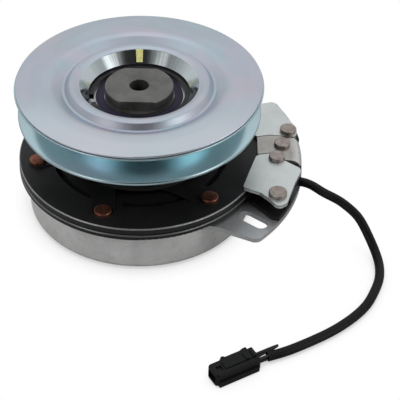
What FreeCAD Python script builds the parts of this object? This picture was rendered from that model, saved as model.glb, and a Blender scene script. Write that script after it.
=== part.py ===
import FreeCAD, Part
import Sketcher
import math
import os

# Electromagnetic tractor clutch with a permanent-magnet brake.
# Z is the shaft axis, up; z = 0 is the bottom face of the field housing. The brake
# sits on the +X side, and its lead runs from there to a plug on the -Y side.
# Millimetres and degrees.

os.makedirs("parts", exist_ok=True)
doc = FreeCAD.newDocument("clutch")
sheet = doc.addObject("Spreadsheet::Sheet", "dims")
Vector = FreeCAD.Vector
ORIGIN = Vector(0, 0, 0)
X_AXIS = Vector(1, 0, 0)
Z_AXIS = Vector(0, 0, 1)
pieces = {}     # file name: document object


# ---------------------------------------------------------------- dimensions
def text_of(value):
    return value.text if isinstance(value, Dim) else repr(float(value))


class Dim(float):
    """A number with the spreadsheet expression it comes from; kept by +, - and *."""

    def __new__(cls, value, text):
        self = super().__new__(cls, value)
        self.text = text
        return self

    def __add__(self, other):
        return Dim(float(self) + float(other), "(%s + %s)" % (self.text, text_of(other)))

    def __radd__(self, other):
        return self + other

    def __sub__(self, other):
        return Dim(float(self) - float(other), "(%s - %s)" % (self.text, text_of(other)))

    def __mul__(self, other):
        return Dim(float(self) * float(other), "(%s * %s)" % (self.text, text_of(other)))

    def __rmul__(self, other):
        return self * other

    def __neg__(self):
        return self * -1.0


class Dimensions:
    """Every spreadsheet value, as an attribute named by its alias."""

    rows = 0


dim = Dimensions()


def cell(alias, value, note):
    dim.rows += 1
    sheet.set("A%d" % dim.rows, note)
    sheet.set("B%d" % dim.rows, repr(float(value)))
    sheet.setAlias("B%d" % dim.rows, alias)
    setattr(dim, alias, Dim(value, "dims." + alias))
    return getattr(dim, alias)


for alias, value, note in [
    ("shell_rad", 72.0, "field housing outer radius"),
    ("shell_top", 27.2, "field housing rim height"),
    ("shell_wall", 6.0, "field housing outer wall"),
    ("shell_floor", 5.0, "field housing floor"),
    ("shell_corner", 4.2, "field housing bottom corner radius"),
    ("core_rad", 38.0, "field housing inner pole outer radius"),
    ("seat_rad", 31.0, "seat radius of both bearings"),
    ("field_lip", 27.8, "field housing lip under the bearing"),
    ("lead_z", 18.5, "height of the lead hole"),
    ("lead_y", -17.0, "offset of the lead hole"),
    ("lead_hole", 3.5, "lead hole radius"),
    ("bobbin_wall", 1.5, "coil bobbin wall"),
    ("bobbin_top", 22.5, "coil bobbin top"),
    ("plate_low", 23.5, "anti-rotation plate underside"),
    ("plate_thick", 3.0, "anti-rotation plate thickness"),
    ("plate_rad", 103.0, "anti-rotation plate outer radius"),
    ("plate_slot_wide", 8.7, "reaction slot width"),
    ("plate_slot_near", 79.6, "reaction slot inner end radius"),
    ("plate_slot_far", 99.4, "reaction slot outer end radius"),
    ("plate_slot_ang", 39.2, "reaction slot angle"),
    ("brake_near", 78.7, "brake block inner radius"),
    ("brake_far", 102.6, "brake block outer radius"),
    ("brake_low", 26.5, "brake block underside"),
    ("brake_top", 36.55, "brake block top"),
    ("pole_thick", 2.55, "brake pole plate thickness"),
    ("pin_rad", 2.5, "brake rivet shank radius"),
    ("pin_head", 4.5, "brake rivet head radius"),
    ("pin_head_high", 2.1, "brake rivet head height"),
    ("bore_rad", 12.7, "crankshaft bore radius, 1 inch shaft"),
    ("bore_low", 0.0, "hub lower face"),
    ("bore_top", 71.0, "crankshaft bore shoulder"),
    ("hub_rad", 17.5, "bearing journal radius"),
    ("hub_top", 74.0, "hub upper face"),
    ("hub_mid", 20.5, "hub radius between the bearings"),
    ("hub_flange", 30.0, "rotor flange radius"),
    ("key_wide", 6.35, "keyway width, 1/4 inch"),
    ("key_deep", 15.5, "keyway depth from the axis"),
    ("rotor_low", 27.9, "rotor rim lower edge"),
    ("rotor_top", 31.5, "rotor pole face"),
    ("rotor_rad", 77.2, "rotor outer radius"),
    ("lining_near", 57.5, "friction ring inner radius"),
    ("lining_far", 68.5, "friction ring outer radius"),
    ("arm_low", 32.0, "armature pole face"),
    ("arm_top", 36.5, "armature upper face"),
    ("arm_rad", 76.9, "armature outer radius"),
    ("arm_near", 44.0, "armature inner radius"),
    ("slot_near", 52.6, "flux slot inner radius"),
    ("slot_far", 56.3, "flux slot outer radius"),
    ("rivet_circle", 65.4, "armature rivet circle radius"),
    ("rivet_head", 5.2, "armature rivet head radius"),
    ("rivet_shank", 3.2, "armature rivet shank radius"),
    ("rivet_first", 11.0, "angle of the first armature rivet"),
    ("spring_thick", 0.8, "leaf spring thickness"),
    ("spring_wide", 14.0, "leaf spring width"),
    ("spring_long", 28.9, "leaf spring rivet spacing"),
    ("spring_skew", 20.0, "leaf spring lay angle from the radius"),
    ("spring_rise", 1.4, "leaf spring rise to the pulley hub"),
    ("pulley_top", 89.5, "pulley upper face"),
    ("pulley_rad", 76.2, "pulley outer radius, 6 inch"),
    ("rim_thick", 1.3, "pulley cover sheet thickness at the rim"),
    ("cover_rad", 75.5, "pulley cover outer radius"),
    ("root_rad", 58.0, "belt groove root radius"),
    ("groove_high", 81.3, "groove root upper edge"),
    ("groove_low", 76.3, "groove root lower edge"),
    ("flange_rad", 75.1, "pulley lower flange radius"),
    ("flange_high", 70.1, "pulley lower flange edge, upper side"),
    ("sheet_thick", 2.5, "pulley sheet thickness"),
    ("tube_rad", 36.0, "pulley hub tube outer radius"),
    ("tube_top", 81.6, "pulley hub tube top"),
    ("tube_flange", 44.0, "pulley hub lower flange radius"),
    ("tube_low", 38.7, "pulley hub lower face"),
    ("brg_in", 21.5, "bearing inner ring outer radius"),
    ("brg_out", 27.0, "bearing outer ring inner radius"),
    ("pitch_rad", 24.25, "bearing ball pitch radius"),
    ("ball_rad", 3.6, "bearing ball radius"),
    ("ball_gap", 0.05, "raceway running clearance"),
    ("fbrg_low", 3.0, "field bearing lower face"),
    ("fbrg_wide", 14.0, "field bearing width"),
    ("pbrg_low", 58.5, "pulley bearing lower face"),
    ("pbrg_wide", 20.0, "pulley bearing width"),
    ("row_low", 64.2, "pulley bearing lower ball row"),
    ("row_high", 72.8, "pulley bearing upper ball row"),
    ("ring_near", 28.0, "snap ring inner radius"),
    ("ring_far", 32.2, "snap ring outer radius"),
    ("collar_rad", 20.95, "collar outer radius"),
    ("collar_flat", 18.0, "collar flat distance from the axis"),
    ("collar_low", 78.5, "collar seating face"),
    ("collar_step", 80.0, "collar flange top"),
    ("collar_top", 86.55, "collar upper face"),
    ("bolt_rad", 5.95, "crank bolt clearance hole radius"),
    ("sleeve_rad", 2.8, "lead sleeve outer radius"),
    ("sleeve_bore", 2.55, "lead sleeve bore radius"),
    ("wire_rad", 0.8, "lead wire radius"),
    ("plug_long", 28.5, "plug length"),
    ("plug_wide", 10.4, "plug width"),
    ("plug_high", 9.0, "plug height"),
    ("plug_x", 54.2, "plug centre x"),
    ("plug_y", -155.8, "plug centre y"),
    ("plug_turn", 28.9, "plug direction angle"),
]:
    cell(alias, value, note)
doc.recompute()

RIVET_GAP = 0.03        # between a rivet shank and its hole
STATIONS = 6            # rivets, springs and slots around the rotor and armature


# ---------------------------------------------------------------- document helpers
def bind(target, path, value):
    if isinstance(value, Dim):
        target.setExpression(path, value.text)


def new_body(name, is_piece=True):
    body = doc.addObject("PartDesign::Body", name)
    body.Label = name
    if is_piece:
        pieces[name] = body
    return body


def new_shape(name, shape):
    feature = doc.addObject("Part::Feature", name)
    feature.Label = name
    feature.Shape = shape
    pieces[name] = feature


def origin(body, role):
    for feature in body.Origin.OriginFeatures:
        if feature.Role == role:
            return feature
    raise RuntimeError("no " + role)


def new_sketch(body, name, offset=0.0, plane="XY_Plane"):
    sketch = body.newObject("Sketcher::SketchObject", name)
    sketch.AttachmentSupport = (origin(body, plane), [""])
    sketch.MapMode = "FlatFace"
    sketch.AttachmentOffset = FreeCAD.Placement(Vector(0, 0, offset), FreeCAD.Rotation())
    bind(sketch, "AttachmentOffset.Base.z", offset)
    return sketch


def add(body, kind, name, **properties):
    """Append a PartDesign feature as the body's tip."""
    feature = body.newObject("PartDesign::" + kind, name)
    for prop, value in properties.items():
        setattr(feature, prop, float(value) if isinstance(value, Dim) else value)
        bind(feature, prop, value)
    body.Tip = feature
    doc.recompute()
    return feature


def pad(body, name, sketch, length):
    add(body, "Pad", name, Profile=sketch, Length=length)


def pocket(body, name, sketch, depth, forward=False):
    """Cut against the sketch normal, or along it when forward."""
    before = body.Shape.Volume
    feature = add(body, "Pocket", name, Profile=sketch, Length=depth, Reversed=forward)
    if not body.Shape.Volume < before - 0.5:
        raise RuntimeError("pocket %s removed nothing" % name)
    return feature


def pocket_ring(body, name, sketch, depth, forward=False):
    """A pocket repeated at every station about Z."""
    first = pocket(body, name, sketch, depth, forward)
    add(body, "PolarPattern", name + "s", Originals=[first],
        Axis=(origin(body, "Z_Axis"), [""]), Angle=360.0, Occurrences=STATIONS)


def revolve(name, feature_name, points):
    """New body turned about Z from (radius, z) points."""
    body = new_body(name)
    sketch = new_sketch(body, feature_name + "_sketch", plane="XZ_Plane")
    polygon(sketch, points)
    add(body, "Revolution", feature_name, Profile=sketch,
        ReferenceAxis=(sketch, ["V_Axis"]), Angle=360.0)
    return body


def ring(name, near, far, low, high):
    return revolve(name, name + "_rev", rectangle(near, low, far, high))


def dress(body, kind, prop, name, size, wanted):
    base = body.Tip
    edges = ["Edge%d" % (i + 1) for i, edge in enumerate(base.Shape.Edges) if wanted(edge)]
    if not edges:
        raise RuntimeError("no edge for " + name)
    feature = add(body, kind, name, Base=(base, edges), **{prop: size})
    if feature.Shape.isNull() or not feature.Shape.isValid() or "Invalid" in feature.State:
        raise RuntimeError("bad " + name)


def fillet(body, name, radius, wanted):
    dress(body, "Fillet", "Radius", name, radius, wanted)


def chamfer(body, name, size, wanted):
    dress(body, "Chamfer", "Size", name, size, wanted)


def rims(*spots):
    """Accepts circular edges about Z at the given (radius, z)."""
    def wanted(edge):
        curve = edge.Curve
        if not isinstance(curve, Part.Circle):
            return False
        centre = curve.Center
        if max(abs(centre.x), abs(centre.y), abs(abs(curve.Axis.z) - 1)) > 1e-3:
            return False
        return any(abs(curve.Radius - radius) < 1e-3 and abs(centre.z - z) < 1e-3
                   for radius, z in spots)
    return wanted


def uprights(*spots):
    """Accepts straight vertical edges through the given points."""
    def wanted(edge):
        if not isinstance(edge.Curve, Part.Line):
            return False
        start, end = edge.Vertexes[0].Point, edge.Vertexes[-1].Point
        if math.hypot(start.x - end.x, start.y - end.y) > 1e-3:
            return False
        return any(math.hypot(start.x - spot[0], start.y - spot[1]) < 0.05 for spot in spots)
    return wanted


# ---------------------------------------------------------------- sketch outlines
def polar(radius, degrees, z=0.0):
    angle = math.radians(degrees)
    return Vector(radius * math.cos(angle), radius * math.sin(angle), z)


def rectangle(x1, y1, x2, y2):
    return [(x1, y1), (x2, y1), (x2, y2), (x1, y2)]


def hold(sketch, item, point, x, y):
    """Hold a point of the geometry at (x, y) from the sketch origin."""
    for kind, value, axis in (("DistanceX", x, -2), ("DistanceY", y, -1)):
        if abs(value) < 1e-9:
            sketch.addConstraint(Sketcher.Constraint("PointOnObject", item, point, axis))
        else:
            index = sketch.addConstraint(
                Sketcher.Constraint(kind, -1, 1, item, point, float(value)))
            bind(sketch, "Constraints[%d]" % index, value)


def polygon(sketch, points):
    base = sketch.GeometryCount
    count = len(points)
    corners = [Vector(x, y, 0) for x, y in points]
    for i in range(count):
        sketch.addGeometry(Part.LineSegment(corners[i], corners[(i + 1) % count]), False)
    for i in range(count):
        sketch.addConstraint(
            Sketcher.Constraint("Coincident", base + i, 2, base + (i + 1) % count, 1))
    for i, (x, y) in enumerate(points):
        hold(sketch, base + i, 1, x, y)


def circle(sketch, x, y, radius):
    item = sketch.addGeometry(Part.Circle(Vector(x, y, 0), Z_AXIS, float(radius)), False)
    hold(sketch, item, 3, x, y)
    index = sketch.addConstraint(Sketcher.Constraint("Radius", item, float(radius)))
    bind(sketch, "Constraints[%d]" % index, radius)


def block(sketch, *curves):
    """Add curves fixed where they are drawn."""
    for curve in curves:
        item = sketch.addGeometry(curve, False)
        sketch.addConstraint(Sketcher.Constraint("Block", item))


def arc_about_axis(radius, start, end):
    return Part.ArcOfCircle(*[polar(radius, a) for a in (start, (start + end) / 2.0, end)])


def sector(sketch, near, far, start, end):
    block(sketch,
          Part.LineSegment(polar(near, start), polar(far, start)),
          arc_about_axis(far, start, end),
          Part.LineSegment(polar(far, end), polar(near, end)),
          arc_about_axis(near, start, end))


def curved_slot(sketch, near, far, start, end):
    """Slot around the axis with round ends centred at the start and end angles."""
    middle, half = (near + far) / 2.0, (far - near) / 2.0
    block(sketch, arc_about_axis(far, start, end), arc_about_axis(near, start, end))
    for angle, side in ((start, -1), (end, 1)):
        tip = polar(middle, angle) + polar(1.0, angle + 90.0) * (half * side)
        block(sketch, Part.ArcOfCircle(polar(near, angle), tip, polar(far, angle)))


def straight_slot(sketch, near, far, angle, wide):
    """Slot along a radius, from end to end near..far."""
    half = wide / 2.0
    along = polar(1.0, angle) * half
    across = Vector(-along.y, along.x, 0)
    start, end = polar(near + half, angle), polar(far - half, angle)
    block(sketch,
          Part.LineSegment(start - across, end - across),
          Part.ArcOfCircle(end - across, end + along, end + across),
          Part.LineSegment(end + across, start + across),
          Part.ArcOfCircle(start + across, start - along, start - across))


# ---------------------------------------------------------------- solid helpers
def cylinder(radius, height, x=0.0, y=0.0, z=0.0):
    return Part.makeCylinder(radius, height, Vector(x, y, z))


def cylinder_along_x(radius, length, x, y, z):
    return Part.makeCylinder(radius, length, Vector(x, y, z), X_AXIS)


def segments(*points):
    """Line edges joining (x, z) points."""
    spots = [Vector(x, 0, z) for x, z in points]
    return [Part.makeLine(start, end) for start, end in zip(spots, spots[1:])]


def face(edges):
    return Part.Face(Part.Wire(edges))


def at_stations(name, shape, first=0.0):
    """Copies of a shape turned about Z to every station."""
    copies = []
    for i in range(STATIONS):
        turned = shape.copy()
        turned.rotate(ORIGIN, Z_AXIS, first + 360.0 / STATIONS * i)
        copies.append(turned)
    new_shape(name, Part.makeCompound(copies))


def rivet(x, y, low, foot, seat, shank_rad, foot_rad, head_rad, head_high):
    """Button rivet: formed foot low..foot, shank, and a head with a slight crown on seat."""
    shank = cylinder(shank_rad, seat - foot, x, y, foot)
    lower = cylinder(foot_rad, foot - low, x, y, low)
    edge = head_high * 0.3          # radius of the rounded edge
    crown = head_high * 0.09        # height of the crown above that edge
    flat = head_rad - edge
    shoulder = head_high - crown
    sphere = (flat * flat + crown * crown) / (2.0 * crown)
    half = math.asin(flat / sphere) / 2.0
    turn = math.sqrt(0.5)
    edges = segments((0, 0), (head_rad, 0), (head_rad, shoulder - edge))
    edges.append(Part.Arc(
        Vector(head_rad, 0, shoulder - edge),
        Vector(flat + edge * turn, 0, shoulder - edge + edge * turn),
        Vector(flat, 0, shoulder)).toShape())
    edges.append(Part.Arc(
        Vector(flat, 0, shoulder),
        Vector(sphere * math.sin(half), 0, head_high - sphere * (1.0 - math.cos(half))),
        Vector(0, 0, head_high)).toShape())
    edges += segments((0, head_high), (0, 0))
    head = face(edges).revolve(ORIGIN, Z_AXIS, 360)
    head.translate(Vector(x, y, seat))
    return shank.fuse(lower).fuse(head).removeSplitter()


# ---------------------------------------------------------------- field housing
FIELD_GROOVE_RAD = 32.4             # snap ring groove
FIELD_GROOVE_LOW, FIELD_GROOVE_HIGH = 17.15, 19.0
LEAD_HOLE_X, LEAD_HOLE_DEPTH = 58.0, 22.0
shell_in = dim.shell_rad - dim.shell_wall

shell = revolve("field_shell", "shell_rev", [
    (dim.field_lip, 0), (dim.shell_rad, 0), (dim.shell_rad, dim.shell_top),
    (shell_in, dim.shell_top), (shell_in, dim.shell_floor),
    (dim.core_rad, dim.shell_floor), (dim.core_rad, dim.shell_top),
    (dim.seat_rad, dim.shell_top),
    (dim.seat_rad, FIELD_GROOVE_HIGH), (FIELD_GROOVE_RAD, FIELD_GROOVE_HIGH),
    (FIELD_GROOVE_RAD, FIELD_GROOVE_LOW), (dim.seat_rad, FIELD_GROOVE_LOW),
    (dim.seat_rad, dim.fbrg_low), (dim.field_lip, dim.fbrg_low)])
fillet(shell, "shell_corner_fillet", dim.shell_corner, rims((dim.shell_rad, 0)))
chamfer(shell, "shell_rim_chamfer", 0.5, rims((dim.shell_rad, dim.shell_top)))
sketch = new_sketch(shell, "shell_lead_sketch", LEAD_HOLE_X, "YZ_Plane")
circle(sketch, dim.lead_y, dim.lead_z, dim.lead_hole)
pocket(shell, "shell_lead_hole", sketch, LEAD_HOLE_DEPTH, forward=True)

# coil: bobbin, winding and the potting over them
CORE_GAP, WALL_GAP = 0.3, 0.4       # bobbin to inner pole, bobbin to outer wall
WINDING_RAD = 60.5
POTTING_DROP = 0.6                  # potting surface below the rim
coil_near = dim.core_rad + CORE_GAP
coil_far = shell_in - WALL_GAP
winding_near = coil_near + dim.bobbin_wall
winding_low = dim.shell_floor + dim.bobbin_wall
winding_high = dim.bobbin_top - dim.bobbin_wall
revolve("coil_bobbin", "bobbin_rev", [
    (coil_near, dim.shell_floor), (coil_far, dim.shell_floor), (coil_far, winding_low),
    (winding_near, winding_low), (winding_near, winding_high), (coil_far, winding_high),
    (coil_far, dim.bobbin_top), (coil_near, dim.bobbin_top)])
ring("coil_winding", winding_near, WINDING_RAD, winding_low, winding_high)
ring("potting_ring", dim.core_rad, shell_in, dim.bobbin_top, dim.shell_top - POTTING_DROP)

# ---------------------------------------------------------------- anti-rotation plate
# Tab around the +X side of the housing, mirrored about y = 0, with two reaction slots.
PLATE_WELD_ANG = 60.0               # where the outline leaves the housing
PLATE_CORNER_ANG = 46.6
PLATE_NECK = (55.4, 67.4)           # where the edge arc meets the straight edge
PLATE_NECK_MID = (46.2, 62.9)       # a point on that edge arc
PLATE_CORNER_ROUND = 5.0
WELL_X, WELL_Y = 84.0, -19.4        # lead well through plate and block
PLATE_WELL_RAD = 4.5
PINS = [(94.9, 16.6), (90.1, 2.2), (85.9, -11.7), (84.1, -47.6)]    # brake rivets x, y
pin_hole = dim.pin_rad + RIVET_GAP

plate = new_body("anti_rotation_plate")
sketch = new_sketch(plate, "plate_sketch", dim.plate_low)
for side in (-1, 1):
    neck = Vector(PLATE_NECK[0], PLATE_NECK[1] * side, 0)
    middle = Vector(PLATE_NECK_MID[0], PLATE_NECK_MID[1] * side, 0)
    block(sketch,
          Part.ArcOfCircle(polar(dim.shell_rad, PLATE_WELD_ANG * side), middle, neck),
          Part.LineSegment(neck, polar(dim.plate_rad, PLATE_CORNER_ANG * side)))
block(sketch,
      arc_about_axis(dim.plate_rad, -PLATE_CORNER_ANG, PLATE_CORNER_ANG),
      arc_about_axis(dim.shell_rad, -PLATE_WELD_ANG, PLATE_WELD_ANG))
pad(plate, "plate_pad", sketch, dim.plate_thick)
fillet(plate, "plate_corner_fillet", PLATE_CORNER_ROUND, uprights(
    *[polar(dim.plate_rad, PLATE_CORNER_ANG * side) for side in (-1, 1)]))
sketch = new_sketch(plate, "plate_slot_sketch", dim.plate_low + dim.plate_thick)
for side in (-1, 1):
    straight_slot(sketch, dim.plate_slot_near, dim.plate_slot_far,
                  side * dim.plate_slot_ang, dim.plate_slot_wide)
circle(sketch, WELL_X, WELL_Y, PLATE_WELL_RAD)
for x, y in PINS:
    circle(sketch, x, y, pin_hole)
pocket(plate, "plate_slots", sketch, dim.plate_thick)

# ---------------------------------------------------------------- brake block
# Moulded carrier of the permanent magnet: a thin base, the block on it and a round
# boss at the last rivet.
BASE_THICK = 3.0
BASE_START = -31.0                  # angle of the base's inner corner on the -Y side
BASE_NOTCH = (98.6, -35.1)          # radius, angle
BASE_TIP = -34.2                    # angle where the outer arc starts
BLOCK_START, BLOCK_END = -25.5, 30.0
BLOCK_ROUND = 2.0
BOSS_RAD = 4.3
MAGNET = (80.4, 86.9, -3.6, 10.2)   # near, far radius, start, end angle
MAGNET_HIGH = 8.0
RECESS = (95.4, 108.0, -9.2, 6.3)   # same columns; open through the outer face
BLOCK_WELL_RAD, BLOCK_WELL_DEPTH = 4.2, 6.5
CHANNEL_Z = 29.5
CHANNEL_RUN = (17.4, -4.5)          # x, y direction from the well outward
CHANNEL_LONG = 30.0
CHANNEL_GAP = 0.35                  # around the lead sleeve
PIN_CUT = 30.0

carrier = new_body("brake_block", is_piece=False)
sketch = new_sketch(carrier, "block_base_sketch", dim.brake_low)
base_tip = polar(dim.brake_far, BASE_TIP)
block(sketch,
      Part.LineSegment(polar(dim.brake_near, BASE_START), polar(*BASE_NOTCH)),
      Part.LineSegment(polar(*BASE_NOTCH), base_tip),
      arc_about_axis(dim.brake_far, BASE_TIP, BLOCK_END),
      Part.LineSegment(polar(dim.brake_far, BLOCK_END), polar(dim.brake_near, BLOCK_END)),
      arc_about_axis(dim.brake_near, BASE_START, BLOCK_END))
pad(carrier, "block_base_pad", sketch, BASE_THICK)
base_top = dim.brake_low + BASE_THICK
block_high = dim.brake_top - dim.brake_low - BASE_THICK
sketch = new_sketch(carrier, "block_sketch", base_top)
sector(sketch, dim.brake_near, dim.brake_far, BLOCK_START, BLOCK_END)
pad(carrier, "block_pad", sketch, block_high)
sketch = new_sketch(carrier, "block_boss_sketch", base_top)
circle(sketch, *PINS[3], BOSS_RAD)
pad(carrier, "block_boss", sketch, block_high)
for name, angle in (("block_corner_fillet", BLOCK_START), ("block_end_fillet", BLOCK_END)):
    fillet(carrier, name, BLOCK_ROUND,
           uprights(polar(dim.brake_near, angle), polar(dim.brake_far, angle)))
sketch = new_sketch(carrier, "block_magnet_sketch", dim.brake_top)
sector(sketch, *MAGNET)
pocket(carrier, "block_magnet_pocket", sketch, MAGNET_HIGH)
sketch = new_sketch(carrier, "block_recess_sketch", dim.brake_top)
sector(sketch, *RECESS)
pocket(carrier, "block_recess", sketch, dim.brake_top - dim.brake_low)
sketch = new_sketch(carrier, "block_pin_sketch", dim.brake_top)
for x, y in PINS:
    circle(sketch, x, y, pin_hole)
pocket(carrier, "block_pin_holes", sketch, PIN_CUT)
sketch = new_sketch(carrier, "block_lead_sketch", dim.brake_low)
circle(sketch, WELL_X, WELL_Y, BLOCK_WELL_RAD)
pocket(carrier, "block_lead_hole", sketch, BLOCK_WELL_DEPTH, forward=True)

# lead channel, running outward from the well to the rim
channel = new_body("block_channel_tool", is_piece=False)
sketch = new_sketch(channel, "channel_sketch", plane="YZ_Plane")
circle(sketch, 0, 0, dim.sleeve_rad + CHANNEL_GAP)
pad(channel, "channel_pad", sketch, CHANNEL_LONG)
channel.Placement = FreeCAD.Placement(
    Vector(WELL_X, WELL_Y, CHANNEL_Z),
    FreeCAD.Rotation(Z_AXIS, math.degrees(math.atan2(CHANNEL_RUN[1], CHANNEL_RUN[0]))))
housing = doc.addObject("Part::Cut", "brake_housing")
housing.Label = "brake_housing"
housing.Base = carrier
housing.Tool = channel
pieces["brake_housing"] = housing
doc.recompute()

magnet = new_body("brake_magnet")
sketch = new_sketch(magnet, "magnet_sketch", dim.brake_top - MAGNET_HIGH)
sector(sketch, *MAGNET)
pad(magnet, "magnet_pad", sketch, MAGNET_HIGH)

# ---------------------------------------------------------------- brake pole plates
pole_top = dim.brake_top + dim.pole_thick


def pole_plate(name, outline, rounds, pins):
    """Flat plate on the block: outline x, y; rounds {radius: corner numbers}; rivets."""
    corners = []
    for letter, (x, y) in zip("abcdefghijklmn", outline):
        corners.append((cell("%s_x%s" % (name, letter), x, name + " outline x"),
                        cell("%s_y%s" % (name, letter), y, name + " outline y")))
    doc.recompute()
    body = new_body(name)
    sketch = new_sketch(body, name + "_sketch", dim.brake_top)
    polygon(sketch, corners)
    pad(body, name + "_pad", sketch, dim.pole_thick)
    for k, (radius, numbers) in enumerate(rounds.items()):
        fillet(body, "%s_fillet_%d" % (name, k), radius,
               uprights(*[outline[i] for i in numbers]))
    sketch = new_sketch(body, name + "_hole_sketch", pole_top)
    for pin in pins:
        circle(sketch, *PINS[pin], pin_hole)
    pocket(body, name + "_holes", sketch, dim.pole_thick)
    return body


pole_plate("pole_plate_front", [
    (63.4, -40.4), (68.5, -23.8), (73.0, -9.9), (74.9, -8.3), (81.9, -7.0),
    (99.6, -21.9), (100.0, -24.8), (95.4, -36.5), (91.5, -48.0), (89.1, -55.5),
    (84.7, -58.3), (81.8, -56.4), (79.1, -51.8), (73.5, -45.2)],
    {1.0: [2], 1.5: [0], 2.0: [4, 5], 3.0: [9, 10], 4.0: [12]}, [2, 3])
pole_plate("pole_plate_rear", [
    (74.7, 10.9), (83.2, 12.5), (99.0, 10.4), (100.8, 15.5), (100.8, 19.8),
    (98.3, 25.3), (90.0, 46.5), (86.8, 48.8), (80.0, 47.1), (73.5, 44.2),
    (63.5, 40.6), (68.5, 24.0), (73.5, 12.4)],
    {1.0: [12], 1.5: [10], 2.0: [1, 2], 3.0: [4, 6, 7]}, [0])
clip_flat = pole_plate("brake_clip", [
    (74.2, -7.6), (82.0, -6.2), (91.6, -12.2), (92.8, 0.0), (92.2, 10.6),
    (83.3, 11.7), (74.9, 10.1)],
    {0.8: [0, 2, 6], 2.0: [4]}, [1])

# clip tab: turns down over the block's rim in one round bend
TAB_BEND = 7.0                      # outer radius of the bend
TAB_NEAR = 91.4                     # radius where it joins the flat
TAB_LOW = 28.2
TAB_START, TAB_SWEEP = -8.5, 14.1   # angles
bend_x = dim.brake_far - TAB_BEND
bend_z = pole_top - TAB_BEND
tab_in = dim.brake_far - dim.pole_thick


def bend_arc(radius, start, end):
    """Arc of the bend; angles run from straight up towards +X."""
    angles = [math.radians(a) for a in (start, (start + end) / 2.0, end)]
    return Part.Arc(*[Vector(bend_x + radius * math.sin(a), 0, bend_z + radius * math.cos(a))
                      for a in angles]).toShape()


profile = segments((TAB_NEAR, pole_top), (bend_x, pole_top))
profile.append(bend_arc(TAB_BEND, 0, 90))
profile += segments((dim.brake_far, bend_z), (dim.brake_far, TAB_LOW),
                    (tab_in, TAB_LOW), (tab_in, bend_z))
profile.append(bend_arc(TAB_BEND - dim.pole_thick, 90, 0))
profile += segments((bend_x, dim.brake_top), (TAB_NEAR, dim.brake_top), (TAB_NEAR, pole_top))
flap = face(profile).revolve(ORIGIN, Z_AXIS, TAB_SWEEP)
flap.rotate(ORIGIN, Z_AXIS, TAB_START)
tab = doc.addObject("Part::Feature", "clip_tab_tool")
tab.Shape = flap.cut(cylinder(pin_hole, 30, *PINS[1], 20))
clip = doc.addObject("Part::Fuse", "brake_clip_whole")
clip.Label = "brake_clip"
clip.Base = clip_flat
clip.Tool = tab
clip.Refine = True
pieces["brake_clip"] = clip         # the whole clip is written, not its flat alone
doc.recompute()

new_shape("brake_rivets", Part.makeCompound([
    rivet(x, y, low=dim.plate_low - 1.4, foot=dim.plate_low, seat=pole_top,
          shank_rad=dim.pin_rad, foot_rad=3.8,
          head_rad=dim.pin_head, head_high=dim.pin_head_high)
    for x, y in PINS]))

# ---------------------------------------------------------------- bearings
BALL_COUNT = 12                     # in each row
CAGE_NEAR, CAGE_FAR = 23.2, 25.3
CAGE_GAP = 0.06                     # around each ball
SEAL_THICK = 1.0
SEAL_GAP = 0.1                      # to the inner ring
SNAP_GAP = 16.0                     # angle between the snap ring's ends


def race(name, near, far, low, wide, rows, edge_rad):
    """Bearing ring, chamfered at edge_rad, with a ball groove at each row."""
    body = ring(name, near, far, low, low + wide)
    chamfer(body, name + "_chamfer", 0.4, rims((edge_rad, low), (edge_rad, low + wide)))
    sketch = new_sketch(body, name + "_groove_sketch", plane="XZ_Plane")
    for z in rows:
        circle(sketch, dim.pitch_rad, z, dim.ball_rad + dim.ball_gap)
    add(body, "Groove", name + "_groove", Profile=sketch,
        ReferenceAxis=(sketch, ["V_Axis"]), Angle=360.0)


def seal(low):
    """Flat ring with a shallow dish in its upper face."""
    near, high = dim.brg_in + SEAL_GAP, low + SEAL_THICK
    return face(segments(
        (near, low), (dim.brg_out, low), (dim.brg_out, high), (25.6, high),
        (25.0, high - 0.25), (23.0, high - 0.25), (22.4, high), (near, high),
        (near, low))).revolve(ORIGIN, Z_AXIS, 360)


def bearing(name, low, wide, rows, cage_half, seal_lows):
    """Ball bearing; every second ball row is turned by half a ball spacing."""
    race(name + "_outer", dim.brg_out, dim.seat_rad, low, wide, rows, dim.seat_rad)
    race(name + "_inner", dim.hub_rad, dim.brg_in, low, wide, rows, dim.hub_rad)
    balls, cages = [], []
    for k, z in enumerate(rows):
        cage = cylinder(CAGE_FAR, 2 * cage_half, z=z - cage_half)
        cage = cage.cut(cylinder(CAGE_NEAR, 2 * cage_half, z=z - cage_half))
        for i in range(BALL_COUNT):
            angle = 360.0 / BALL_COUNT * (i + 0.5 * k)
            balls.append(Part.makeSphere(dim.ball_rad, polar(dim.pitch_rad, angle, z)))
            cage = cage.cut(Part.makeCylinder(
                dim.ball_rad + CAGE_GAP, 9.0, polar(20.0, angle, z), polar(1.0, angle)))
        cages.append(cage)
    new_shape(name + "_balls", Part.makeCompound(balls))
    new_shape(name + "_cage", Part.makeCompound(cages))
    new_shape(name + "_seals", Part.makeCompound([seal(z) for z in seal_lows]))


def snap_ring(name, low, high, gap_angle):
    """Internal retaining ring of height high, plain ends either side of gap_angle."""
    shape = Part.makeCylinder(dim.ring_far, high, Vector(0, 0, low), Z_AXIS, 360.0 - SNAP_GAP)
    shape = shape.cut(cylinder(dim.ring_near, high, z=low))
    shape.rotate(ORIGIN, Z_AXIS, gap_angle + SNAP_GAP / 2.0)
    new_shape(name, shape.removeSplitter())


bearing("field_bearing", dim.fbrg_low, dim.fbrg_wide, [dim.fbrg_low + dim.fbrg_wide * 0.5],
        cage_half=4.3, seal_lows=(3.3, 15.6))
snap_ring("field_snap_ring", low=17.2, high=1.7, gap_angle=90.0)
bearing("pulley_bearing", dim.pbrg_low, dim.pbrg_wide, [dim.row_low, dim.row_high],
        cage_half=4.1, seal_lows=(58.8, 77.15))
snap_ring("pulley_snap_ring", low=78.6, high=1.75, gap_angle=190.0)

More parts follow.
